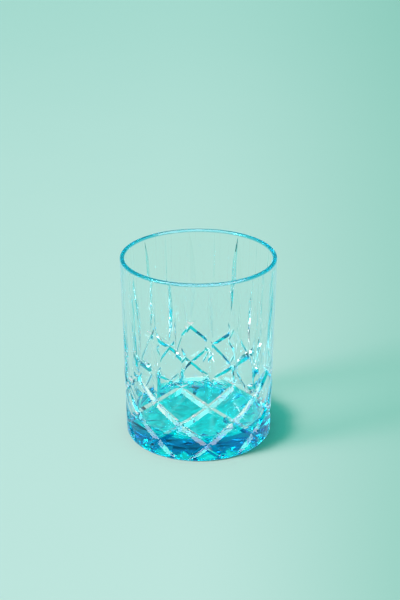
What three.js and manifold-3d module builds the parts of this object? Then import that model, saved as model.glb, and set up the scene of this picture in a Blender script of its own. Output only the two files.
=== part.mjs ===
import * as THREE from "three";
import { mergeVertices } from "three/addons/utils/BufferGeometryUtils.js";
import Module from "manifold-3d";

// A whisky tumbler in cut glass: a colourless bowl joined hot to a thick aqua foot.
// Millimetres, +Z up. The tumbler stands on z = 0 and its axis is the Z axis.
// Azimuth 0 is the front, towards -Y, and grows towards +X.

const wasm = await Module();
wasm.setup();

// Body of revolution
const height = 98;
const rimRadius = 39.75;
const footRadius = 38.2;
const rimWall = 2.3;
const lowWall = 4;
const floorFillet = 6;
const floorGlass = 1.5;
const segmentsPerRepeat = 8;
const arcSteps = 6;

// Foot
const footHeight = 8.2;
const heelRound = 1.2;
const contactWidth = 2.8;
const hollowDepth = 1.6;

// Lattice of slanting cuts around the lower half
const repeats = 9;
const firstCrossing = 9.4;
const crossingPitch = 10.7;
const crossingRows = 4;
const latticeDepth = 1.3;
const latticeOpening = 1.44;
const latticeRunOut = 4.5;
const heelClear = 0.6;
const heelRunOut = 2.5;

// Upright cuts above the lattice
const rimBand = 2.5;
const lancetGap = 2;
const tallLancetDepth = 1.8;
const shortLancetLength = 39;
const shortLancetDepth = 1.5;
const lancetOpening = 2;
const thinCutLength = 35.5;
const thinCutDepth = 0.4;
const thinCutOpening = 1;

// Short rays in the underside, two to each repeat
const rayLength = 13.2;
const rayTail = 1.5;
const rayDepth = 4.2;
const rayOpening = 1.25;

// How far a cutter stands clear of the glass it cuts, and how far past the tip of its cut it starts
const cutterReach = 1.5;
const tipOverrun = 0.5;

const repeatAngle = (2 * Math.PI) / repeats;
const segments = repeats * segmentsPerRepeat;
const floorLevel = footHeight + floorGlass;
const cutTop = height - rimBand;
const contactOuter = footRadius - heelRound;
const contactInner = contactOuter - contactWidth;
const domeRadius = (contactInner ** 2 + hollowDepth ** 2) / (2 * hollowDepth);
const domeAngle = Math.asin(contactInner / domeRadius);

const wallRadius = (z) => footRadius + ((rimRadius - footRadius) * z) / height;
const crossing = (row) => firstCrossing + row * crossingPitch;
const hollowHeight = (radius) => Math.sqrt(domeRadius ** 2 - radius ** 2) - domeRadius + hollowDepth;

function arc(centreX, centreY, radius, from, to) {
  const curve = new THREE.EllipseCurve(centreX, centreY, radius, radius, from, to, to < from);
  return curve.getPoints(arcSteps);
}

function merged(geometry) {
  geometry.deleteAttribute("normal");
  geometry.deleteAttribute("uv");
  return mergeVertices(geometry);
}

function solid(geometry) {
  const triVerts = [];
  const index = geometry.index.array;
  for (let i = 0; i < index.length; i += 3) {
    const [a, b, c] = index.slice(i, i + 3);
    if (a !== b && b !== c && c !== a) triVerts.push(a, b, c);
  }
  const vertProperties = new Float32Array(geometry.attributes.position.array);
  const mesh = new wasm.Mesh({ numProp: 3, vertProperties, triVerts: new Uint32Array(triVerts) });
  return new wasm.Manifold(mesh);
}

function turned(profile) {
  const geometry = new THREE.LatheGeometry(profile, segments);
  geometry.rotateX(Math.PI / 2);
  return solid(merged(geometry));
}

// A point on the wall, or below its surface by the given depth.
function onWall(azimuth, z, depth) {
  const radius = wallRadius(z) - depth;
  return new THREE.Vector3(radius * Math.sin(azimuth), -radius * Math.cos(azimuth), z);
}

// The V of a mitre wheel carried along the bottom line of a cut. Each point of the line spreads
// towards the outside into a triangle whose half-width is its height times the opening.
function mitreCutter(line, outward, opening, reaches) {
  const positions = [];
  const indices = [];
  const last = line.length - 1;
  line.forEach((point, i) => {
    const along = line[Math.min(i + 1, last)].clone().sub(line[Math.max(i - 1, 0)]);
    const side = along.cross(outward[i]).normalize().multiplyScalar(reaches[i] * opening);
    const top = point.clone().addScaledVector(outward[i], reaches[i]);
    positions.push(...point, ...top.clone().add(side), ...top.clone().sub(side));
    if (i === last) return;
    for (let j = 0; j < 3; j += 1) {
      const here = 3 * i + j;
      const beside = 3 * i + ((j + 1) % 3);
      indices.push(here, beside + 3, beside, here, here + 3, beside + 3);
    }
  });
  indices.push(0, 1, 2, 3 * last, 3 * last + 2, 3 * last + 1);
  const geometry = new THREE.BufferGeometry();
  geometry.setAttribute("position", new THREE.Float32BufferAttribute(positions, 3));
  geometry.setIndex(indices);
  return geometry;
}

// A cut in the wall along stations that each give an azimuth, a height and a depth.
function wallCutter(stations, opening) {
  const line = stations.map(([azimuth, z, depth]) => onWall(azimuth, z, depth));
  const outward = stations.map(([azimuth]) => new THREE.Vector3(Math.sin(azimuth), -Math.cos(azimuth), 0));
  const reaches = stations.map(([, , depth]) => depth + cutterReach);
  return mitreCutter(line, outward, opening, reaches);
}

// An upright cut, deepest half way between its two pointed ends.
function uprightCutter(azimuth, low, high, depth, opening, steps) {
  const middle = (low + high) / 2;
  const half = (high - low) / 2;
  const overrun = half * Math.sqrt(1 + tipOverrun / depth);
  const stations = [];
  for (let i = 0; i <= steps; i += 1) {
    const z = middle + overrun * ((2 * i) / steps - 1);
    stations.push([azimuth, z, depth * (1 - ((z - middle) / half) ** 2)]);
  }
  return wallCutter(stations, opening);
}

// A slanting cut through every crossing row, running out at the heel and above the top row.
function slantCutter(direction) {
  const low = heelClear;
  const high = crossing(crossingRows - 1) + latticeRunOut;
  const fall = latticeDepth + tipOverrun;
  const depthAt = (z) => {
    const inFromEnd = Math.min((z - low) / heelRunOut, (high - z) / latticeRunOut);
    return Math.min(latticeDepth, inFromEnd * fall - tipOverrun);
  };
  const heights = [low, low + heelRunOut];
  for (let row = 0; row < crossingRows; row += 0.5) heights.push(crossing(row));
  heights.push(high - latticeRunOut, high);
  const inOrder = heights.filter((z) => z >= low && z <= high).sort((a, b) => a - b);
  const stations = inOrder.map((z) => {
    const rows = (z - firstCrossing) / crossingPitch;
    return [(direction * rows * repeatAngle) / 2, z, depthAt(z)];
  });
  return wallCutter(stations, latticeOpening);
}

// One ray of the underside, deepest near its outer end, where it comes back to the ring.
function rayCutter(azimuth) {
  const outer = contactInner - rayTail;
  const down = new THREE.Vector3(0, 0, -1);
  const rayPoint = (radius, depth) =>
    new THREE.Vector3(radius * Math.sin(azimuth), -radius * Math.cos(azimuth), hollowHeight(radius) + depth);
  const slope = rayDepth / rayLength;
  const start = rayPoint(outer - rayLength - tipOverrun / slope, -tipOverrun);
  const line = [start, rayPoint(outer, rayDepth), rayPoint(contactInner, -tipOverrun)];
  const reaches = [cutterReach - tipOverrun, rayDepth + cutterReach, cutterReach - tipOverrun];
  return mitreCutter(line, [down, down, down], rayOpening, reaches);
}

function around(geometry, count) {
  const turnedCopies = [];
  for (let k = 0; k < count; k += 1) {
    turnedCopies.push(solid(geometry.clone().rotateZ((2 * Math.PI * k) / count)));
  }
  return turnedCopies;
}

const halfRepeat = repeatAngle / 2;
const tallLow = crossing(crossingRows - 1) + lancetGap;
const shortLow = crossing(crossingRows - 2) + lancetGap;
const shortHigh = shortLow + shortLancetLength;
const thinLow = cutTop - thinCutLength;

const slants = [...around(slantCutter(1), repeats), ...around(slantCutter(-1), repeats)];
const tallLancet = uprightCutter(halfRepeat, tallLow, cutTop, tallLancetDepth, lancetOpening, 8);
const shortLancet = uprightCutter(0, shortLow, shortHigh, shortLancetDepth, lancetOpening, 6);
const thinCut = uprightCutter(0, thinLow, cutTop, thinCutDepth, thinCutOpening, 4);
const uprights = [
  ...around(tallLancet, repeats),
  ...around(shortLancet, repeats),
  ...around(thinCut, repeats),
];
const rays = around(rayCutter(0), 2 * repeats);

function cut(body, cutters) {
  return cutters.reduce((rest, cutter) => rest.subtract(cutter), body);
}

// The bowl: flat joint face, outer wall, round rim, inner wall, floor.
const rimRound = rimWall / 2;
const lowInner = wallRadius(floorLevel) - lowWall;
const bowlProfile = [
  new THREE.Vector2(0, footHeight),
  new THREE.Vector2(wallRadius(footHeight), footHeight),
  ...arc(rimRadius - rimRound, height - rimRound, rimRound, 0, Math.PI),
  ...arc(lowInner - floorFillet, floorLevel + floorFillet, floorFillet, 0, -Math.PI / 2),
  new THREE.Vector2(0, floorLevel),
];
const bowl = cut(turned(bowlProfile), [...slants, ...uprights]);

// The foot: domed hollow, ring it stands on, round heel, flank, flat joint face.
const footProfile = [
  ...arc(0, hollowDepth - domeRadius, domeRadius, Math.PI / 2, Math.PI / 2 - domeAngle),
  ...arc(contactOuter, heelRound, heelRound, -Math.PI / 2, 0),
  new THREE.Vector2(wallRadius(footHeight), footHeight),
  new THREE.Vector2(0, footHeight),
];
const foot = cut(turned(footProfile), [...slants, ...rays]);

function glassMesh(name, body, color, opacity) {
  const { numProp, vertProperties, triVerts } = body.getMesh();
  const geometry = new THREE.BufferGeometry();
  geometry.setAttribute("position", new THREE.BufferAttribute(vertProperties, numProp));
  geometry.setIndex(new THREE.BufferAttribute(triVerts, 1));
  geometry.computeVertexNormals();
  const polish = { roughness: 0.04, metalness: 0 };
  const material = new THREE.MeshStandardMaterial({ color, opacity, transparent: true, ...polish });
  const mesh = new THREE.Mesh(geometry, material);
  mesh.name = name;
  return mesh;
}

const tumbler = new THREE.Group();
tumbler.add(glassMesh("clear_bowl", bowl, 0xe2f4f0, 0.35));
tumbler.add(glassMesh("aqua_foot", foot, 0x02a6bf, 0.6));

export default tumbler;
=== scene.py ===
"""A whisky tumbler in cut glass: a clear bowl on a thick aqua foot, dressed around its packed solids.

Metres, +Z up, standing on z = 0. Azimuth 0 faces -Y and grows towards +X.
"""

import math

import bpy
import numpy as np
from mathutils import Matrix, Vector


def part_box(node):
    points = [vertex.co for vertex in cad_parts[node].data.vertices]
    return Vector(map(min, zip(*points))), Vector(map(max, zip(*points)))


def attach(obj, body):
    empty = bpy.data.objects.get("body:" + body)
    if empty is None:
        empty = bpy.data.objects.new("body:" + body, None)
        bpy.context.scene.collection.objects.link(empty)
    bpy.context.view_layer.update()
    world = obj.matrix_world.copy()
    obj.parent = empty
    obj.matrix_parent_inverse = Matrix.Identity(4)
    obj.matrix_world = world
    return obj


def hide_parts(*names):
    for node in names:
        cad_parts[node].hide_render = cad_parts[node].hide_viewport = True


bl_info = {
    "name": "Cut-glass tumbler",
    "version": (1, 0, 0),
    "blender": (4, 5, 0),
    "location": "View3D > Sidebar > Tumbler",
    "description": "Builds a clear cut-glass bowl on an aqua foot, with its floor, lights and camera",
    "category": "Object",
}

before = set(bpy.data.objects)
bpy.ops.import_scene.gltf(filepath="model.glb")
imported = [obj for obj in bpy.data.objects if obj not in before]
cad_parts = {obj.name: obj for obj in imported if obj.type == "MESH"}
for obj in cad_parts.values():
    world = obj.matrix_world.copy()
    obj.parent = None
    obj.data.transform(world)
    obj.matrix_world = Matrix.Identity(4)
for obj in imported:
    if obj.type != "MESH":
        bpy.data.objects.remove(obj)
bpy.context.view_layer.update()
BOWL_LOW, BOWL_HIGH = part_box("clear_bowl")

JOINT_MARK = "joint"
WHITE = (1.0, 1.0, 1.0, 1.0)

# Mesh: steps along each part of the two profiles
FLAT_STEPS = 3
INSIDE_STEPS = 8
RIM_STEPS = 24
FILLET_STEPS = 14
HOLLOW_STEPS = 80
HEEL_STEPS = 12

# Mesh: height of a row above the lattice, and share of a row that stays free at the ends of the lattice
COARSE_ROW = 0.0009
ROW_CLEARANCE = 0.3

# Mesh: shares of the columns that follow the short and the tall cuts, and the least width they close to
SHORT_CUT_COLUMNS = 0.3
TALL_CUT_COLUMNS = 0.37
LEAST_CUT_WIDTH = 0.01

# Mesh: what keeps a flank's spread off zero, and the bend that is shaded as a sharp edge
LEAST_SPREAD = 1e-9
SHARP_EDGE = math.radians(9.0)

# Polish of the glass: smears, unevenness, and how soon a face counts as grazed
SMEAR = 0.02
SMEAR_SCALE, SMEAR_DETAIL = 55.0, 4.0
WAVE_SCALE, WAVE_DETAIL = 140.0, 1.0
WAVE_STRENGTH, WAVE_DEPTH = 0.25, 0.0001
SLOPE_BLEND = 0.25

# Where the painted aqua light of the rim starts and is full, in wall thicknesses below the top
RIM_LIGHT_START, RIM_LIGHT_FULL = 0.75, 0.4

# Paper of the floor, with painted shade that deepens it away from the key lamp and to one side
PAPER_ROUGHNESS = 0.9
FLOOR_DROP = 0.00005
MOTTLE_SCALE, MOTTLE_DETAIL, MOTTLE_SHARE = 9.0, 3.0, 0.06
TONE_RANGE = (-0.25, 0.85)
FALL_RANGE = (-0.04, 0.34)

# Net of light on the paper under the foot: its noise, its strength, and the radii where it fades
NET_SCALE, NET_DETAIL, NET_DISTORTION = 75.0, 2.0, 3.0
NET_RANGE, NET_LIGHT = (0.35, 0.65), (0.82, 1.52)
NET_RADII = (0.035, 0.045)

# Edges of the pale room, the ceiling and the card, as parts of a direction of length 1
BACK_HEIGHTS = (0.42, 0.5)
BACK_DEPTHS = (0.3, 0.8)
CEILING_HEIGHTS = (0.46, 0.6)
CARD_EDGE = (0.5, 0.65)

SENSOR_WIDTH = 36.0
GLASS_BOUNCES = 64
MIRROR_BOUNCES = 32
STRAIGHT_BOUNCES = 32


def length(name, description, default):
    """A size in metres that a user may change."""
    return bpy.props.FloatProperty(
        name=name, description=description, default=default, min=0.0, precision=5, unit="LENGTH"
    )


def ratio(name, description, default, highest=100.0):
    """A plain number that a user may change."""
    return bpy.props.FloatProperty(
        name=name, description=description, default=default, min=0.0, max=highest, precision=4
    )


def count(name, description, default):
    """A whole number that a user may change."""
    return bpy.props.IntProperty(name=name, description=description, default=default, min=1)


def angle(name, description, degrees):
    """An angle that a user may change."""
    return bpy.props.FloatProperty(
        name=name, description=description, default=math.radians(degrees), subtype="ANGLE"
    )


def colour(name, description, red, green, blue):
    """A linear colour that a user may change."""
    return bpy.props.FloatVectorProperty(
        name=name, description=description, default=(red, green, blue), min=0.0, max=1.0, subtype="COLOR"
    )


class TumblerBody(bpy.types.PropertyGroup):
    """Sizes of the turned body, before it is cut."""

    height: length("Height", "From the table to the top of the rim", BOWL_HIGH[2])
    rim_radius: length("Rim radius", "Outside of the wall at the rim", BOWL_HIGH[0])
    foot_radius: length("Foot radius", "Outside of the wall, carried down to the table", 0.0382)
    joint_height: length("Joint height", "Where the clear glass is joined to the aqua foot", BOWL_LOW[2])
    joint_gap: length("Joint gap", "Sliver left between the two joined faces", 0.00004)
    rim_wall: length("Wall at the rim", "Thickness of the wall at its top", 0.0023)
    low_wall: length("Wall at the floor", "Thickness of the wall at the inner floor", 0.004)
    floor_glass: length("Floor glass", "Clear glass between the joint and the inner floor", 0.0015)
    floor_fillet: length("Floor fillet", "Radius between the inner wall and the floor", 0.006)
    heel_round: length("Heel round", "Radius at the outer edge of the underside", 0.0012)
    contact_width: length("Contact width", "Width of the ring that stands on the table", 0.0028)
    hollow_depth: length("Hollow depth", "How far the middle of the underside is raised", 0.0016)
    columns_per_half: count("Columns", "Mesh columns in half a repeat of the pattern", 27)


class TumblerCuts(bpy.types.PropertyGroup):
    """Sizes of the wheel cuts."""

    repeats: count("Repeats", "Diamonds around the bowl", 9)
    first_crossing: length("First crossing", "Height of the lowest crossing of the slanting cuts", 0.0094)
    crossing_pitch: length("Crossing pitch", "Height between rows of crossings", 0.0107)
    crossing_rows: count("Crossing rows", "Rows of crossings", 4)
    slant_depth: length("Slant depth", "Depth of the slanting cuts", 0.0013)
    slant_opening: ratio("Slant opening", "Half-width of a slanting cut for its depth", 1.44)
    slant_run_out: length("Slant run-out", "Height over which a slanting cut fades at its ends", 0.0045)
    heel_clear: length("Heel clearance", "Height where the slanting cuts start", 0.0006)
    heel_run_out: length("Heel run-out", "Height over which a slanting cut fades at the heel", 0.0025)
    tip_overrun: length(
        "Tip overrun", "How far past its tip a slanting cut's bottom line goes on rising", 0.0005
    )
    rim_band: length("Rim band", "Plain glass between the upright cuts and the rim", 0.0025)
    lancet_gap: length("Lancet gap", "Glass between a crossing and the upright cut above it", 0.002)
    tall_depth: length("Tall lancet depth", "Depth of the tall upright cuts", 0.0018)
    short_length: length("Short lancet length", "Length of the short upright cuts", 0.039)
    short_depth: length("Short lancet depth", "Depth of the short upright cuts", 0.0015)
    lancet_opening: ratio("Lancet opening", "Half-width of an upright cut for its depth", 2.0)
    ray_inner: length("Ray start", "Radius where the rays under the heel start", 0.0195)
    ray_outer: length("Ray end", "Radius where the rays under the heel are deepest", 0.0327)
    ray_tail: length("Ray tail", "Length over which a ray comes back to the surface", 0.0015)
    ray_depth: length("Ray depth", "Depth of the rays under the heel", 0.0042)
    ray_opening: ratio("Ray opening", "Half-width of a ray for its depth", 1.25)
    thin_length: length("Thin cut length", "Length of the thin cuts above the short ones", 0.0355)
    thin_depth: length("Thin cut depth", "Depth of the thin upright cuts", 0.0004)
    thin_opening: ratio("Thin cut opening", "Half-width of a thin cut for its depth", 1.0)


class TumblerGlass(bpy.types.PropertyGroup):
    """Finish of the two glasses."""

    index: ratio("Index", "Refractive index of both glasses", 1.52)
    clear_pass: colour("Clear glass", "Colour that the clear glass lets through", 0.2, 0.97, 1.0)
    clear_density: ratio(
        "Clear density", "How strongly the clear glass colours light, per metre", 10.0, 5000.0
    )
    aqua_pass: colour("Aqua glass", "Colour that the aqua glass lets through", 0.0, 0.978, 0.99)
    aqua_density: ratio(
        "Aqua density", "How strongly the aqua glass colours light, per metre", 900.0, 5000.0
    )
    face_tint: colour("Face tint", "Tint of the clear glass's surface", 0.97, 1.0, 1.0)
    clear_shade: colour("Clear shade", "Light that a clear face passes on to the floor", 0.985, 0.995, 0.99)
    clear_edge: colour("Clear edge", "Light that a clear face passes on at its edges", 0.66, 0.82, 0.77)
    aqua_shade: colour("Aqua shade", "Light that an aqua face passes on to the floor", 0.1, 0.48, 0.4)
    aqua_edge: colour("Aqua edge", "Light that an aqua face passes on at its edges", 0.04, 0.32, 0.25)
    face_mirror: colour("Face mirror", "Tint of what the clear glass mirrors", 0.2, 0.93, 1.0)
    aqua_mirror: colour("Aqua mirror", "Tint of what the aqua foot mirrors", 0.14, 0.85, 1.0)
    # Painted light: aqua on the rim, in place of light led up the wall from the aqua foot
    rim_painted_light: colour("Rim tint", "Tint of the fire-polished rim", 0.02, 0.55, 0.76)


class TumblerStage(bpy.types.PropertyGroup):
    """Floor, light and camera."""

    floor_colour: colour("Floor colour", "Pale mint of the floor", 0.50, 0.77, 0.70)
    # Painted shade: the floor turns to this deeper mint away from the key lamp, along
    # painted_shade_direction
    far_shaded_colour: colour("Far floor colour", "Deeper mint away from the key lamp", 0.36, 0.68, 0.595)
    # Painted shade: the floor is multiplied by this colour to the right of the tumbler, turned and spread
    # as below
    side_shade_colour: colour("Side tint", "How the floor falls off to the right of the tumbler", 0.52, 0.77, 0.70)
    fall_turn: angle("Fall-off turn", "How far the side that falls off is turned about the axis", -7.2)
    fall_reach: length(
        "Fall-off reach", "Distance in front of the axis from which the fall-off spreads", 0.566
    )
    painted_shade_direction: bpy.props.FloatVectorProperty(
        name="Floor fade",
        description="Direction in which the floor deepens, per metre",
        default=(0.1, 0.55, 0.0),
    )
    floor_through: ratio(
        "Floor through glass", "Share of its even colour that the floor shows through glass", 0.8, 1.0
    )
    floor_reach: length("Floor reach", "Half the width of the floor", 6.0)
    sky_colour: colour("Sky colour", "Ceiling as seen through glass", 1.0, 0.9, 0.96)
    fill_colour: colour("Fill colour", "Light of the ceiling on the floor", 0.34, 0.93, 0.82)
    room_colour: colour("Room colour", "Dim room around the floor", 0.05, 0.06, 0.06)
    sky_strength: ratio("Sky strength", "Strength of the soft light", 0.42)
    sky_through: ratio("Sky through glass", "Strength of the soft light as seen through glass", 0.85)
    mirror_colour: colour("Mirrored sky", "What polished glass mirrors of the soft light", 0.05, 0.62, 0.70)
    glance_colour: colour("Mirrored floor", "What polished glass mirrors of the floor", 0.4, 0.7, 0.75)
    back_colour: colour("Back colour", "Pale room behind the tumbler", 0.95, 0.93, 0.90)
    card_colour: colour("Card colour", "Colour of the mirrored card", 1.0, 0.23, 0.21)
    card_strength: ratio("Card strength", "How much brighter than the sky the mirrored card is", 72.0)
    card_direction: bpy.props.FloatVectorProperty(
        name="Card direction", description="Where the mirrored card stands", default=(0.0, -0.68, 0.73)
    )
    key_strength: ratio("Key strength", "Light of the key lamp on a surface that faces it", 3.6)
    key_colour: colour("Key colour", "Colour of the key lamp", 0.98, 0.78, 0.83)
    key_spread: angle("Key spread", "How wide the key lamp looks from the tumbler", 15.0)
    broad_strength: ratio("Broad strength", "Light of the broad lamp on a surface that faces it", 3.25)
    broad_spread: angle("Broad spread", "How wide the broad lamp looks from the tumbler", 32.0)
    key_height: angle("Key height", "How high the key lamp stands", 26.0)
    key_side: angle("Key side", "How far the key lamp stands to the left of the camera", 68.0)
    turn: angle("Camera azimuth", "Where the camera stands around the tumbler", -7.2)
    distance: length("Camera distance", "From the axis to the camera, along the floor", 0.566)
    rise: length("Camera height", "Height of the camera", 0.315)
    tilt: angle("Camera tilt", "How far the camera looks down", 23.14)
    pan: angle("Camera pan", "How far the camera looks past the axis", -0.078)
    lens: ratio("Lens", "Focal length in millimetres, for a 36 mm sensor", 72.0, 500.0)


def wall_radius(body, z):
    """Outside of the uncut wall: a straight line from the foot's radius to the rim's."""
    return body.foot_radius + (body.rim_radius - body.foot_radius) * z / body.height


def crossing(cuts, row):
    """Height of a row of crossings."""
    return cuts.first_crossing + row * cuts.crossing_pitch


def away_from(azimuth, centre, copies):
    """Angle to the nearest of so many equal copies around the axis, one of them at centre."""
    step = math.tau / copies
    return (azimuth - centre + step / 2) % step - step / 2


def valley_radius(body, z, low, high, depth):
    """Bottom line of an upright cut: a parabola, as deep as given half way between its two tips."""
    middle = (low + high) / 2
    half = (high - low) / 2
    return wall_radius(body, z) - depth * (1 - ((z - middle) / half) ** 2)


def upright_cut(body, azimuth, z, centre, copies, low, high, depth, opening):
    """Radius of the bottom and flanks of upright cuts.

    The flanks are planes that spread from the bottom line: sideways distance = outward distance times
    opening.
    """
    valley = valley_radius(body, z, low, high, depth)
    side = np.abs(away_from(azimuth, centre, copies))
    spread = opening * np.cos(side) - np.sin(side)
    return np.where(spread > 0, opening * valley / np.maximum(spread, LEAST_SPREAD), np.inf)


def slant_cut(body, cuts, azimuth, z, direction):
    """Radius of the bottom and flanks of the slanting cuts that climb one way.

    On the unrolled wall each cut is a straight line through the crossings. Its flanks rise with the
    distance from the line, divided by the opening, and its depth fades evenly at both ends.
    """
    half_repeat = math.pi / cuts.repeats
    high = crossing(cuts, cuts.crossing_rows - 1) + cuts.slant_run_out
    in_from_end = np.minimum((z - cuts.heel_clear) / cuts.heel_run_out, (high - z) / cuts.slant_run_out)
    fall = cuts.slant_depth + cuts.tip_overrun
    depth = np.minimum(cuts.slant_depth, in_from_end * fall - cuts.tip_overrun)
    line = direction * half_repeat * (z - cuts.first_crossing) / cuts.crossing_pitch
    middle = wall_radius(body, crossing(cuts, (cuts.crossing_rows - 1) / 2))
    lean = math.atan2(cuts.crossing_pitch, middle * half_repeat)
    side = np.abs(away_from(azimuth, line, cuts.repeats)) * middle * math.sin(lean)
    return wall_radius(body, z) - depth + side / cuts.slant_opening


def ray_cut(cuts, radius, azimuth):
    """Depth of the rays in the underside, two to each repeat.

    The bottom line deepens evenly outwards and comes back over the tail. The flanks rise with the
    sideways distance, divided by the opening.
    """
    side = np.abs(away_from(azimuth, 0.0, 2 * cuts.repeats)) * radius
    outwards = (radius - cuts.ray_inner) / (cuts.ray_outer - cuts.ray_inner)
    back = 1 - (radius - cuts.ray_outer) / cuts.ray_tail
    depth = cuts.ray_depth * np.minimum(outwards, back)
    return np.maximum(0.0, depth - side / cuts.ray_opening)


def uprights(body, cuts):
    """Centre, copies, foot, tip, depth and opening of each kind of upright cut: tall, short, thin."""
    half_repeat = math.pi / cuts.repeats
    top = body.height - cuts.rim_band
    tall_low = crossing(cuts, cuts.crossing_rows - 1) + cuts.lancet_gap
    short_low = crossing(cuts, cuts.crossing_rows - 2) + cuts.lancet_gap
    short_high = short_low + cuts.short_length
    return (
        (half_repeat, cuts.repeats, tall_low, top, cuts.tall_depth, cuts.lancet_opening),
        (0.0, cuts.repeats, short_low, short_high, cuts.short_depth, cuts.lancet_opening),
        (0.0, cuts.repeats, top - cuts.thin_length, top, cuts.thin_depth, cuts.thin_opening),
    )


def cut_radius(body, cuts, azimuth, z):
    """The innermost of all the cuts in the wall."""
    cut = np.minimum(slant_cut(body, cuts, azimuth, z, 1), slant_cut(body, cuts, azimuth, z, -1))
    for upright in uprights(body, cuts):
        cut = np.minimum(cut, upright_cut(body, azimuth, z, *upright))
    return cut


def half_width(body, z, low, high, depth, opening):
    """Angle from the middle of an upright cut to where its flank meets the wall.

    It solves the flank's plane for the wall's radius.
    """
    wall = wall_radius(body, z)
    valley = valley_radius(body, z, low, high, depth)
    flank = math.atan2(1.0, opening)
    return np.arccos(np.minimum(1.0, valley / wall * math.cos(flank))) - flank


def column_turns(body, cuts, z):
    """Azimuth of every mesh column on rows of the given heights.

    Above the lattice the columns of half a repeat share out in three stretches, so that two of them
    follow the edges of the short and tall cuts up to their tips. Elsewhere they are even.
    """
    steps = body.columns_per_half
    half_repeat = math.pi / cuts.repeats
    even = np.arange(steps + 1) / steps
    widths = [half_width(body, z, *upright[2:]) for upright in uprights(body, cuts)]
    tall, short, thin = (width / half_repeat for width in widths)
    near = round(steps * SHORT_CUT_COLUMNS) / steps
    far = 1 - round(steps * TALL_CUT_COLUMNS) / steps
    tip = smooth_step((z - (body.height - cuts.rim_band)) / cuts.rim_band * 2)
    near_edge = np.maximum(np.maximum(short, thin), LEAST_CUT_WIDTH + tip * near)[:, None]
    far_edge = 1 - np.maximum(tall, LEAST_CUT_WIDTH + tip * (1 - far))[:, None]
    first = even / near * near_edge
    second = near_edge + (even - near) / (far - near) * (far_edge - near_edge)
    third = 1 - (1 - even) / (1 - far) * (1 - far_edge)
    follow = np.where(even < near, first, np.where(even < far, second, third))
    lattice_top = crossing(cuts, cuts.crossing_rows - 1) + cuts.slant_run_out
    weight = smooth_step((z - lattice_top) / cuts.slant_run_out) * (1 - tip)
    share = even + weight[:, None] * (follow - even)
    repeat = np.concatenate([share[:, :-1], 2 - share[:, :0:-1]], axis=1)
    return np.concatenate([repeat + 2 * k for k in range(cuts.repeats)], axis=1) * half_repeat


def smooth_step(share):
    """Eases from 0 to 1 as share goes from 0 to 1."""
    share = np.clip(share, 0.0, 1.0)
    return share * share * (3 - 2 * share)


def arc(radius, z, size, start, end, steps):
    """Points of a profile along an arc, angles in quarter turns from outwards to upwards."""
    turn = np.linspace(start, end, steps + 1) * math.pi / 2
    return np.stack([radius + size * np.cos(turn), z + size * np.sin(turn)], axis=-1)


def stretch(start, end, steps):
    """Points of a profile along a straight line, without its two ends."""
    share = np.linspace(0.0, 1.0, steps + 1)[1:-1, None]
    return np.asarray(start) * (1 - share) + np.asarray(end) * share


def wall_rows(body, cuts, low, high):
    """Heights of the mesh rows on the wall.

    Up to the end of the slanting cuts a row climbs as one column turns, so those cuts run along the
    diagonals of the mesh. Above them the rows are coarser.
    """
    fine = cuts.crossing_pitch / body.columns_per_half
    lattice_top = crossing(cuts, cuts.crossing_rows - 1) + cuts.slant_run_out
    first = math.ceil((low - cuts.first_crossing) / fine + ROW_CLEARANCE)
    last = math.floor((min(high, lattice_top) - cuts.first_crossing) / fine - ROW_CLEARANCE)
    rows = cuts.first_crossing + fine * np.arange(first, last + 1)
    if high > lattice_top:
        steps = round((high - rows[-1]) / COARSE_ROW)
        rows = np.append(rows, np.linspace(rows[-1], high, steps + 1)[1:-1])
    return np.concatenate([[low], rows, [high]])


def bowl_profile(body, cuts):
    """Half-section of the bowl: joint face, wall, round rim, inner wall, fillet, floor.

    Also gives its two heights on the axis, the rows of the joint face, and the rows with even columns.
    """
    base = body.joint_height + body.joint_gap / 2
    floor = body.joint_height + body.floor_glass
    rim_round = body.rim_wall / 2
    inner = wall_radius(body, floor) - body.low_wall
    heights = wall_rows(body, cuts, base, body.height - rim_round)
    wall = np.stack([wall_radius(body, heights), heights], axis=-1)
    joint = stretch((0.0, base), wall[0], FLAT_STEPS)
    rim = arc(body.rim_radius - rim_round, body.height - rim_round, rim_round, 0, 2, RIM_STEPS)
    fillet_height = floor + body.floor_fillet
    fillet = arc(inner - body.floor_fillet, fillet_height, body.floor_fillet, 0, -1, FILLET_STEPS)
    inside = stretch(rim[-1], fillet[0], INSIDE_STEPS)
    bottom = stretch(fillet[-1], (0.0, floor), FLAT_STEPS)
    profile = np.concatenate([joint, wall, rim[1:], inside, fillet, bottom])
    return profile, (base, floor), len(joint), slice(len(joint) + len(wall), None)


def foot_profile(body, cuts):
    """Half-section of the foot: domed hollow, ring it stands on, round heel, flank, joint face.

    Also gives its two heights on the axis, the rows of the joint face, and the rows of the hollow.
    """
    top = body.joint_height - body.joint_gap / 2
    contact = body.foot_radius - body.heel_round
    ring = contact - body.contact_width
    dome = (ring**2 + body.hollow_depth**2) / (2 * body.hollow_depth)
    reach = 2 / math.pi * math.asin(ring / dome)
    hollow = arc(0.0, body.hollow_depth - dome, dome, 1, 1 - reach, HOLLOW_STEPS)[1:]
    heel = arc(contact, body.heel_round, body.heel_round, -1, 0, HEEL_STEPS)
    heights = wall_rows(body, cuts, body.heel_round, top)
    flank = np.stack([wall_radius(body, heights), heights], axis=-1)
    joint = stretch(flank[-1], (0.0, top), FLAT_STEPS)
    profile = np.concatenate([hollow, heel[:-1], flank, joint])
    return profile, (body.hollow_depth, top), len(joint), slice(0, len(hollow))


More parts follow.
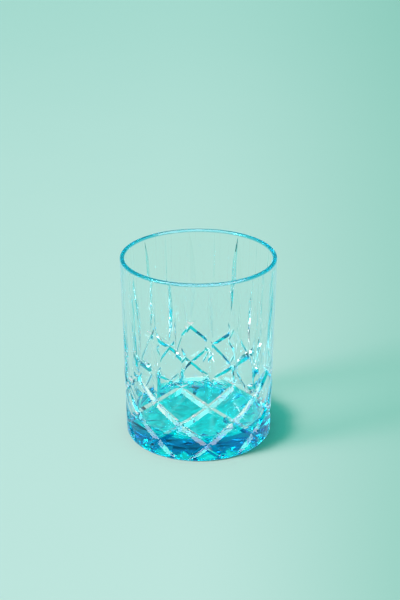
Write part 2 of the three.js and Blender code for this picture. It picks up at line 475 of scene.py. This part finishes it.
def turned_mesh(name, body, cuts, profile, poles, even_rows, ray_rows):
    """A closed mesh of a profile carried around the axis, with the cuts taken off.

    A point is (r sin a, -r cos a, z) at azimuth a, where r is the smaller of the profile's radius and
    the cuts' radius at that height. The rays raise z in their rows. Each cell is split along the
    diagonal whose middle lies nearer to the surface there. The first and last rows close on the poles,
    two heights on the axis.
    """
    columns = 2 * cuts.repeats * body.columns_per_half

    def points(radius, z, azimuth):
        cut = np.minimum(radius, cut_radius(body, cuts, azimuth, z))
        return np.stack([cut * np.sin(azimuth), -cut * np.cos(azimuth), z], axis=-1)

    def cell_middles(values):
        rows = (values[1:] + values[:-1]) / 2
        return (rows + np.roll(rows, -1, axis=1)) / 2

    radius, z = (np.repeat(profile[:, k : k + 1], columns, axis=1) for k in (0, 1))
    azimuth = column_turns(body, cuts, profile[:, 1])
    azimuth[even_rows] = np.arange(columns) * math.tau / columns
    grid = points(radius, z, azimuth)
    grid[ray_rows, :, 2] += ray_cut(cuts, radius[ray_rows], azimuth[ray_rows])

    # The neighbour of the last column is the first one, a full turn on
    seam = np.zeros((1, columns))
    seam[0, -1] = math.tau / 2
    middles = points(cell_middles(radius), cell_middles(z), cell_middles(azimuth) + seam)
    ray_middles = (cell_middles(values)[ray_rows] for values in (radius, azimuth))
    middles[ray_rows, :, 2] += ray_cut(cuts, *ray_middles)
    turned = np.roll(grid, -1, axis=1)
    rising = np.linalg.norm((grid[:-1] + turned[1:]) / 2 - middles, axis=-1)
    falling = np.linalg.norm((turned[:-1] + grid[1:]) / 2 - middles, axis=-1)

    rows = len(profile)
    index = np.arange(rows * columns).reshape(rows, columns)
    beside = np.roll(index, -1, axis=1)
    a, b, c, d = index[:-1], beside[:-1], beside[1:], index[1:]
    up = (rising <= falling)[..., None]
    first = np.where(up, np.stack([a, b, c], -1), np.stack([a, b, d], -1))
    second = np.where(up, np.stack([a, c, d], -1), np.stack([b, c, d], -1))
    cells = np.stack([first, second], axis=2).reshape(-1, 3)
    start = np.full(columns, rows * columns)
    low_fan = np.stack([start, beside[0], index[0]], -1)
    high_fan = np.stack([start + 1, index[-1], beside[-1]], -1)
    triangles = np.concatenate([low_fan, cells, high_fan])
    axis_points = [(0.0, 0.0, pole) for pole in poles]
    vertices = np.concatenate([grid.reshape(-1, 3), axis_points])
    return triangle_mesh(name, vertices, triangles), columns


def triangle_mesh(name, vertices, triangles):
    """A mesh of the given triangles, smooth but for the edges of the cuts."""
    mesh = bpy.data.meshes.new(name)
    mesh.vertices.add(len(vertices))
    mesh.vertices.foreach_set("co", vertices.ravel())
    mesh.loops.add(triangles.size)
    mesh.loops.foreach_set("vertex_index", triangles.ravel())
    mesh.polygons.add(len(triangles))
    mesh.polygons.foreach_set("loop_start", np.arange(0, triangles.size, 3))
    mesh.update(calc_edges=True)
    mesh.validate()
    mesh.shade_smooth()
    mesh.set_sharp_from_angle(angle=SHARP_EDGE)
    return mesh


def paint(mesh, material, joint):
    """Gives the mesh its glass, and marks the faces of the joint in an attribute."""
    mesh.materials.append(material)
    joined = np.zeros(len(mesh.polygons), dtype=np.float32)
    joined[joint] = 1.0
    mesh.attributes.new(JOINT_MARK, "FLOAT", "FACE").data.foreach_set("value", joined)


def place(name, mesh, node):
    """Puts a piece into the scene in the place of its packed node."""
    piece = bpy.data.objects.new(name, mesh)
    bpy.context.scene.collection.objects.link(piece)
    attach(piece, "root")
    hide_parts(node)


def linear(tint):
    """A colour as the four numbers of a socket."""
    return (*tint, 1.0)


def put(tree, socket, value):
    """Feeds a socket from another node, or sets it to a plain value."""
    if isinstance(value, bpy.types.NodeSocket):
        tree.links.new(value, socket)
    else:
        socket.default_value = value


def object_point(tree):
    """The shaded point, in the piece's own coordinates."""
    return tree.nodes.new("ShaderNodeTexCoord").outputs["Object"]


def noise(tree, point, scale, detail, distortion=0.0):
    """Soft noise at a point."""
    node = tree.nodes.new("ShaderNodeTexNoise")
    node.inputs["Scale"].default_value = scale
    node.inputs["Detail"].default_value = detail
    node.inputs["Distortion"].default_value = distortion
    tree.links.new(point, node.inputs["Vector"])
    return node.outputs["Fac"]


def along(tree, point, direction):
    """How far a point lies along a direction."""
    node = tree.nodes.new("ShaderNodeVectorMath")
    node.operation = "DOT_PRODUCT"
    node.inputs[1].default_value = direction
    tree.links.new(point, node.inputs[0])
    return node.outputs["Value"]


def calculated(tree, operation, *values, clamp=False):
    """A number worked out from plain numbers and other nodes."""
    node = tree.nodes.new("ShaderNodeMath")
    node.operation = operation
    node.use_clamp = clamp
    for socket, value in zip(node.inputs, values):
        put(tree, socket, value)
    return node.outputs[0]


def ranged(tree, value, limits, results=(0.0, 1.0), kind="SMOOTHSTEP"):
    """A number carried from one range to another and held at the ends of it."""
    node = tree.nodes.new("ShaderNodeMapRange")
    node.interpolation_type = kind
    ends = ("From Min", "From Max", "To Min", "To Max")
    for end, number in zip(ends, (*limits, *results)):
        node.inputs[end].default_value = number
    tree.links.new(value, node.inputs["Value"])
    return node.outputs["Result"]


def blended(tree, share, low, high, kind="RGBA", mode="MIX"):
    """A mix of two colours, or of two numbers."""
    node = tree.nodes.new("ShaderNodeMix")
    node.data_type = kind
    node.blend_type = mode
    for side, value in (("Factor", share), ("A", low), ("B", high)):
        put(tree, node.inputs[side], value)
    return node.outputs["Result"]


def mixed_shaders(tree, share, first, second):
    """A mix of two shaders."""
    node = tree.nodes.new("ShaderNodeMixShader")
    for socket, value in zip(node.inputs, (share, first, second)):
        tree.links.new(value, socket)
    return node.outputs["Shader"]


def polish_group():
    """Node group for polished glass: faint smears, and faint unevenness of the surface."""
    name = "Polished glass"
    if name in bpy.data.node_groups:
        return bpy.data.node_groups[name]
    group = bpy.data.node_groups.new(name, "ShaderNodeTree")
    for socket, side in (("Smear", "INPUT"), ("Roughness", "OUTPUT"), ("Height", "OUTPUT")):
        group.interface.new_socket(socket, in_out=side, socket_type="NodeSocketFloat")
    given = group.nodes.new("NodeGroupInput")
    result = group.nodes.new("NodeGroupOutput")
    point = object_point(group)
    smear = noise(group, point, SMEAR_SCALE, SMEAR_DETAIL)
    dulled = calculated(group, "MULTIPLY", smear, given.outputs["Smear"])
    wave = noise(group, point, WAVE_SCALE, WAVE_DETAIL)
    group.links.new(dulled, result.inputs["Roughness"])
    group.links.new(wave, result.inputs["Height"])
    return group


def glass_material(name, index, inside, density, mirrored, shade):
    """Polished glass of the given refractive index, inner colour, tint of what it mirrors and shade."""
    material = bpy.data.materials.new(name)
    material.use_nodes = True
    tree = material.node_tree
    shader = tree.nodes["Principled BSDF"]
    shader.inputs["Base Color"].default_value = WHITE
    shader.inputs["Metallic"].default_value = 0.0
    shader.inputs["Transmission Weight"].default_value = 1.0
    shader.inputs["IOR"].default_value = index
    shader.inputs["Specular Tint"].default_value = linear(mirrored)
    polish = tree.nodes.new("ShaderNodeGroup")
    polish.node_tree = polish_group()
    polish.inputs["Smear"].default_value = SMEAR
    tree.links.new(polish.outputs["Roughness"], shader.inputs["Roughness"])
    bump = tree.nodes.new("ShaderNodeBump")
    bump.inputs["Strength"].default_value = WAVE_STRENGTH
    bump.inputs["Distance"].default_value = WAVE_DEPTH
    tree.links.new(polish.outputs["Height"], bump.inputs["Height"])
    tree.links.new(bump.outputs["Normal"], shader.inputs["Normal"])
    fill(tree, inside, density)
    let_through(tree, shader, shade)
    return material


def paint_rim_light(material, tint, rim_painted_light, start, full):
    """Tints a glass: its own tint below the height start, and painted aqua light above the height full."""
    tree = material.node_tree
    parts = tree.nodes.new("ShaderNodeSeparateXYZ")
    tree.links.new(object_point(tree), parts.inputs[0])
    band = ranged(tree, parts.outputs["Z"], (start, full))
    # Above the height full the aqua is painted light, standing in for light led up the wall from the foot
    face = blended(tree, band, linear(tint), linear(rim_painted_light))
    tree.links.new(face, tree.nodes["Principled BSDF"].inputs["Base Color"])


def let_through(tree, shader, shade):
    """Lets light go straight through the joint, where the two glasses are one.

    All the light on its way to the floor goes straight through as well. It takes the first tint of the
    shade where it meets a face squarely, and the second where it grazes one.
    """
    path = tree.nodes.new("ShaderNodeLightPath")
    lighting = calculated(tree, "ADD", path.outputs["Is Shadow Ray"], path.outputs["Diffuse Depth"])
    mark = tree.nodes.new("ShaderNodeAttribute")
    mark.attribute_name = JOINT_MARK
    straight = calculated(tree, "ADD", lighting, mark.outputs["Fac"], clamp=True)
    slope = tree.nodes.new("ShaderNodeLayerWeight")
    slope.inputs["Blend"].default_value = SLOPE_BLEND
    squarely, grazing = shade
    passed = blended(tree, slope.outputs["Facing"], linear(squarely), linear(grazing))
    clear = tree.nodes.new("ShaderNodeBsdfTransparent")
    tree.links.new(blended(tree, mark.outputs["Fac"], passed, WHITE), clear.inputs["Color"])
    either = mixed_shaders(tree, straight, shader.outputs["BSDF"], clear.outputs["BSDF"])
    tree.links.new(either, tree.nodes["Material Output"].inputs["Surface"])


def fill(tree, inside, density):
    """Colours the light that goes through the body of a glass."""
    absorption = tree.nodes.new("ShaderNodeVolumeAbsorption")
    absorption.inputs["Color"].default_value = linear(inside)
    absorption.inputs["Density"].default_value = density
    tree.links.new(absorption.outputs["Volume"], tree.nodes["Material Output"].inputs["Volume"])


class TUMBLER_OT_bowl(bpy.types.Operator):
    """Build the clear bowl with its lattice and upright cuts"""

    bl_idname = "tumbler.bowl"
    bl_label = "Clear bowl"

    def execute(self, context):
        body, cuts, glass = tumbler(context)
        profile, poles, joint_rows, inside = bowl_profile(body, cuts)
        no_rays = slice(0, 0)
        mesh, columns = turned_mesh("clear_bowl_glass", body, cuts, profile, poles, inside, no_rays)
        clear = glass_material(
            "Clear glass",
            glass.index,
            glass.clear_pass,
            glass.clear_density,
            glass.face_mirror,
            (glass.clear_shade, glass.clear_edge),
        )
        # The rim gets painted aqua light, standing in for light led up the wall from the aqua foot
        rim_light_start = body.height - body.rim_wall * RIM_LIGHT_START
        rim_light_full = body.height - body.rim_wall * RIM_LIGHT_FULL
        paint_rim_light(clear, glass.face_tint, glass.rim_painted_light, rim_light_start, rim_light_full)
        paint(mesh, clear, slice(0, columns * (1 + 2 * joint_rows)))
        place("clear_bowl_glass", mesh, "clear_bowl")
        return {"FINISHED"}


class TUMBLER_OT_foot(bpy.types.Operator):
    """Build the aqua foot with its heel and hollow underside"""

    bl_idname = "tumbler.foot"
    bl_label = "Aqua foot"

    def execute(self, context):
        body, cuts, glass = tumbler(context)
        profile, poles, joint_rows, under = foot_profile(body, cuts)
        mesh, columns = turned_mesh("aqua_foot_glass", body, cuts, profile, poles, under, under)
        aqua = glass_material(
            "Aqua glass",
            glass.index,
            glass.aqua_pass,
            glass.aqua_density,
            glass.aqua_mirror,
            (glass.aqua_shade, glass.aqua_edge),
        )
        paint(mesh, aqua, slice(-columns * (1 + 2 * joint_rows), None))
        place("aqua_foot_glass", mesh, "aqua_foot")
        return {"FINISHED"}


def tumbler(context):
    """The tumbler's settings."""
    scene = context.scene
    return scene.tumbler_body, scene.tumbler_cuts, scene.tumbler_glass


def glass_rays(tree):
    """Two masks: rays that the camera sends through glass, and rays that glass mirrors."""
    path = tree.nodes.new("ShaderNodeLightPath").outputs
    refracted = path["Is Transmission Ray"]
    through = calculated(tree, "SUBTRACT", refracted, path["Diffuse Depth"], clamp=True)
    mirrored = calculated(tree, "SUBTRACT", path["Is Glossy Ray"], refracted, clamp=True)
    return through, mirrored


def shaded_paper_tone(tree, point, stage):
    """Colour of the paper: painted shade from the near colour to the far one, with a faint mottle."""
    mottle = noise(tree, point, MOTTLE_SCALE, MOTTLE_DETAIL)
    away = along(tree, point, stage.painted_shade_direction)
    faded = calculated(tree, "MULTIPLY_ADD", mottle, MOTTLE_SHARE, away)
    share = ranged(tree, faded, TONE_RANGE)
    return blended(tree, share, linear(stage.floor_colour), linear(stage.far_shaded_colour))


def painted_side_shade(tree, point, stage):
    """How much painted shade falls on the paper to one side: the distance aside for the distance ahead.

    The distance ahead is kept well above zero, so the fall-off doesn't fan out from a point.
    """
    aside, ahead = (
        along(tree, point, turned_about_axis(direction, stage.fall_turn))
        for direction in ((1.0, 0.0, 0.0), (0.0, 1.0, 0.0))
    )
    least = stage.fall_reach / 2
    distance = calculated(tree, "ADD", ahead, stage.fall_reach)
    reach = calculated(tree, "SMOOTH_MAX", distance, least, least)
    return ranged(tree, calculated(tree, "DIVIDE", aside, reach), FALL_RANGE)


def light_net(tree, point):
    """Strength of the light on the paper: a net under the foot, and 1 around it."""
    net = noise(tree, point, NET_SCALE, NET_DETAIL, NET_DISTORTION)
    glow = ranged(tree, net, NET_RANGE, NET_LIGHT, kind="LINEAR")
    spot = tree.nodes.new("ShaderNodeVectorMath")
    spot.operation = "LENGTH"
    tree.links.new(point, spot.inputs[0])
    beside = ranged(tree, spot.outputs["Value"], NET_RADII, kind="LINEAR")
    return blended(tree, beside, glow, 1.0, kind="FLOAT")


def floor_material(stage):
    """Matt paper with a faint mottle, and painted shade deepening it away from the key lamp and to one
    side.

    Through glass it shows part of its even colour, and polished glass mirrors the mirrored colour.
    """
    material = bpy.data.materials.new("Mint paper")
    material.use_nodes = True
    tree = material.node_tree
    shader = tree.nodes["Principled BSDF"]
    shader.inputs["Roughness"].default_value = PAPER_ROUGHNESS
    shader.inputs["Specular IOR Level"].default_value = 0.0
    point = object_point(tree)
    # Painted shade: the paper deepens away from the key lamp and is darker to the right of the tumbler
    tone = shaded_paper_tone(tree, point, stage)
    fall = painted_side_shade(tree, point, stage)
    # Painted shade: the lit paper is darkened to the right of the tumbler
    dimmed = blended(tree, fall, tone, linear(stage.side_shade_colour), mode="MULTIPLY")
    tree.links.new(dimmed, shader.inputs["Base Color"])
    even = tree.nodes.new("ShaderNodeEmission")
    tree.links.new(tone, even.inputs["Color"])
    tree.links.new(light_net(tree, point), even.inputs["Strength"])
    mirrored = tree.nodes.new("ShaderNodeEmission")
    mirrored.inputs["Color"].default_value = linear(stage.glance_colour)
    through_share, mirrored_share = glass_rays(tree)
    through = calculated(tree, "MULTIPLY", through_share, stage.floor_through)
    shown = mixed_shaders(tree, through, shader.outputs["BSDF"], even.outputs["Emission"])
    seen = mixed_shaders(tree, mirrored_share, shown, mirrored.outputs["Emission"])
    tree.links.new(seen, tree.nodes["Material Output"].inputs["Surface"])
    return material


def studio_floor(stage):
    """A flat square of paper, as a grid of points a hair below z = 0."""
    side = np.linspace(-stage.floor_reach, stage.floor_reach, 3)
    x, y = np.meshgrid(side, side)
    vertices = np.stack([x.ravel(), y.ravel(), np.full(x.size, -FLOOR_DROP)], axis=-1)
    corner = np.array([0, 1, 3, 4])[:, None]
    mesh = bpy.data.meshes.new("studio_floor")
    mesh.from_pydata(vertices.tolist(), [], (corner + np.array([0, 1, 4, 3])).tolist())
    mesh.materials.append(floor_material(stage))
    floor = bpy.data.objects.new("studio_floor", mesh)
    bpy.context.scene.collection.objects.link(floor)


def studio_sky(stage):
    """Soft light from all around: a dim room, paler behind the tumbler, under a bright ceiling.

    Polished glass mirrors an even colour, and a bright card in front of the tumbler, above the camera.
    The camera itself sees the plain colour of the far floor.
    """
    world = bpy.data.worlds.new("Studio sky")
    world.use_nodes = True
    tree = world.node_tree
    sky = tree.nodes["Background"]
    direction = tree.nodes.new("ShaderNodeTexCoord").outputs["Generated"]
    parts = tree.nodes.new("ShaderNodeSeparateXYZ")
    tree.links.new(direction, parts.inputs[0])
    depth, height = parts.outputs["Y"], parts.outputs["Z"]
    through, mirrored = glass_rays(tree)
    dim = linear(stage.room_colour)
    back = blended(tree, ranged(tree, height, BACK_HEIGHTS), linear(stage.back_colour), dim)
    room = blended(tree, ranged(tree, depth, BACK_DEPTHS), dim, back)
    ceiling = blended(tree, through, linear(stage.fill_colour), linear(stage.sky_colour))
    low = blended(tree, through, dim, room)
    around = blended(tree, ranged(tree, height, CEILING_HEIGHTS), low, ceiling)
    near_card = ranged(tree, along(tree, direction, stage.card_direction), CARD_EDGE)
    bright = linear([tone * stage.card_strength for tone in stage.card_colour])
    card = blended(tree, near_card, linear(stage.mirror_colour), bright)
    tree.links.new(blended(tree, mirrored, around, card), sky.inputs["Color"])
    more = stage.sky_through - stage.sky_strength
    strength = calculated(tree, "MULTIPLY_ADD", through, more, stage.sky_strength)
    tree.links.new(strength, sky.inputs["Strength"])
    plain = tree.nodes.new("ShaderNodeBackground")
    plain.inputs["Color"].default_value = linear(stage.far_shaded_colour)
    direct = tree.nodes.new("ShaderNodeLightPath").outputs["Is Camera Ray"]
    shown = mixed_shaders(tree, direct, sky.outputs["Background"], plain.outputs["Background"])
    tree.links.new(shown, tree.nodes["World Output"].inputs["Surface"])
    bpy.context.scene.world = world


def turned_about_axis(point, turn):
    """A point turned about the tumbler's axis."""
    x, y, z = point
    cosine, sine = math.cos(turn), math.sin(turn)
    return Vector((x * cosine - y * sine, x * sine + y * cosine, z))


def studio_key(stage, name, strength, spread):
    """One even lamp far away, to the left of the camera."""
    lamp = bpy.data.lights.new(name, "SUN")
    lamp.energy = strength
    lamp.color = stage.key_colour
    lamp.angle = spread
    holder = bpy.data.objects.new(name, lamp)
    bpy.context.scene.collection.objects.link(holder)
    holder.rotation_euler = (math.pi / 2 - stage.key_height, 0.0, stage.turn - stage.key_side)


def studio_camera(stage):
    """The camera at the photograph's viewing angle."""
    camera = bpy.data.cameras.new("camera")
    camera.lens = stage.lens
    camera.sensor_width = SENSOR_WIDTH
    holder = bpy.data.objects.new("camera", camera)
    bpy.context.scene.collection.objects.link(holder)
    holder.location = turned_about_axis((0.0, -stage.distance, stage.rise), stage.turn)
    holder.rotation_euler = (math.pi / 2 - stage.tilt, 0.0, stage.turn + stage.pan)
    bpy.context.scene.camera = holder


class TUMBLER_OT_stage(bpy.types.Operator):
    """Build the floor, the lights and the camera"""

    bl_idname = "tumbler.stage"
    bl_label = "Floor, lights and camera"

    def execute(self, context):
        scene = context.scene
        stage = scene.tumbler_stage
        studio_floor(stage)
        studio_sky(stage)
        studio_key(stage, "key_lamp", stage.key_strength, stage.key_spread)
        studio_key(stage, "broad_lamp", stage.broad_strength, stage.broad_spread)
        studio_camera(stage)
        scene.view_settings.view_transform = "Standard"
        scene.cycles.max_bounces = GLASS_BOUNCES
        scene.cycles.transmission_bounces = GLASS_BOUNCES
        scene.cycles.glossy_bounces = MIRROR_BOUNCES
        scene.cycles.transparent_max_bounces = STRAIGHT_BOUNCES
        scene.cycles.caustics_refractive = True
        scene.cycles.caustics_reflective = False
        scene.cycles.blur_glossy = 0.0
        return {"FINISHED"}


class VIEW3D_PT_tumbler(bpy.types.Panel):
    """Settings and build buttons of the tumbler"""

    bl_label = "Cut-glass tumbler"
    bl_idname = "VIEW3D_PT_tumbler"
    bl_space_type = "VIEW_3D"
    bl_region_type = "UI"
    bl_category = "Tumbler"

    def draw(self, context):
        layout = self.layout
        for operator in OPERATORS:
            layout.operator(operator.bl_idname)
        for name, group in GROUPS.items():
            box = layout.box()
            box.label(text=group.__doc__)
            settings = getattr(context.scene, name)
            for field in group.__annotations__:
                box.prop(settings, field)


GROUPS = {
    "tumbler_body": TumblerBody,
    "tumbler_cuts": TumblerCuts,
    "tumbler_glass": TumblerGlass,
    "tumbler_stage": TumblerStage,
}
OPERATORS = (TUMBLER_OT_bowl, TUMBLER_OT_foot, TUMBLER_OT_stage)
CLASSES = (*GROUPS.values(), *OPERATORS, VIEW3D_PT_tumbler)


def register():
    """Registers the classes and gives each scene the tumbler's settings."""
    for made in CLASSES:
        bpy.utils.register_class(made)
    for name, group in GROUPS.items():
        setattr(bpy.types.Scene, name, bpy.props.PointerProperty(type=group))


def unregister():
    """Takes the settings and the classes away again."""
    for name in GROUPS:
        delattr(bpy.types.Scene, name)
    for made in reversed(CLASSES):
        bpy.utils.unregister_class(made)


def main():
    """Builds the stage and the tumbler."""
    register()
    bpy.ops.tumbler.stage()
    bpy.ops.tumbler.bowl()
    bpy.ops.tumbler.foot()


if __name__ == "__main__":
    main()
